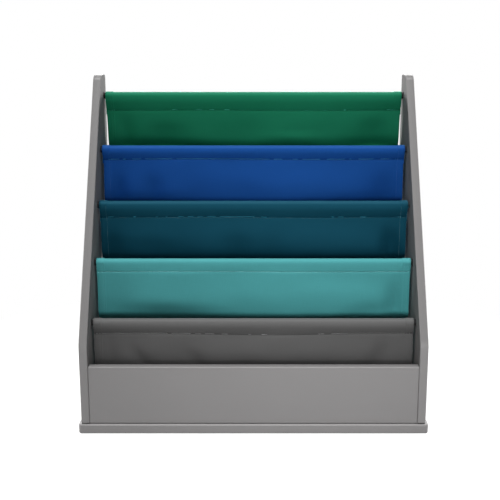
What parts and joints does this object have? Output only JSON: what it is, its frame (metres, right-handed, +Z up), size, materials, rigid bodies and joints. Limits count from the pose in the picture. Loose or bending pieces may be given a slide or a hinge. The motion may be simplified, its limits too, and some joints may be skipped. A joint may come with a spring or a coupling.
{
  "type": "sling bookshelf",
  "caption": "Free-standing sling bookshelf for children: sloping side panels, rods with hanging cloth pockets, a cloth backrest and a shallow bin at the base.",
  "frame": {"origin": "on the floor under the middle of the base board", "axes": "+X to the right of someone facing the shelf, +Y to its back, +Z up"},
  "size_m": [0.62, 0.302, 0.62],
  "materials": {
    "grey_paint": "satin warm grey paint on board",
    "rod_coating": "satin black powder coat",
    "pocket_cloth_grey": "plain woven polyester, matte",
    "pocket_cloth_aqua": "plain woven polyester, matte",
    "pocket_cloth_teal": "plain woven polyester, matte",
    "pocket_cloth_blue": "plain woven polyester, matte",
    "backrest_cloth_green": "plain woven polyester, matte",
    "zinc": "bright zinc plating",
    "beech": "raw beech"
  },
  "bodies": {
    "root": {"base_board": "grey_paint", "side_panel_left": "grey_paint", "side_panel_right": "grey_paint", "front_board": "grey_paint", "rear_board": "grey_paint", "front_rod_1": "rod_coating", "front_rod_2": "rod_coating", "front_rod_3": "rod_coating", "front_rod_4": "rod_coating", "rear_rod_1": "rod_coating", "rear_rod_2": "rod_coating", "rear_rod_3": "rod_coating", "rear_rod_4": "rod_coating", "backrest_top_rod": "rod_coating", "backrest_lower_rod": "rod_coating", "pocket_sling_1": "pocket_cloth_grey", "pocket_sling_2": "pocket_cloth_aqua", "pocket_sling_3": "pocket_cloth_teal", "pocket_sling_4": "pocket_cloth_blue", "backrest_sling": "backrest_cloth_green", "base_screw_left_1": "zinc", "base_screw_left_2": "zinc", "base_screw_left_3": "zinc", "cam_lock_front_left_1": "zinc", "cam_bolt_front_left_1": "zinc", "cam_lock_front_left_2": "zinc", "cam_bolt_front_left_2": "zinc", "wood_pin_front_left": "beech", "cam_lock_rear_left_1": "zinc", "cam_bolt_rear_left_1": "zinc", "cam_lock_rear_left_2": "zinc", "cam_bolt_rear_left_2": "zinc", "wood_pin_rear_left": "beech", "base_screw_right_1": "zinc", "base_screw_right_2": "zinc", "base_screw_right_3": "zinc", "cam_lock_front_right_1": "zinc", "cam_bolt_front_right_1": "zinc", "cam_lock_front_right_2": "zinc", "cam_bolt_front_right_2": "zinc", "wood_pin_front_right": "beech", "cam_lock_rear_right_1": "zinc", "cam_bolt_rear_right_1": "zinc", "cam_lock_rear_right_2": "zinc", "cam_bolt_rear_right_2": "zinc", "wood_pin_rear_right": "beech"}
  },
  "joints": []
}
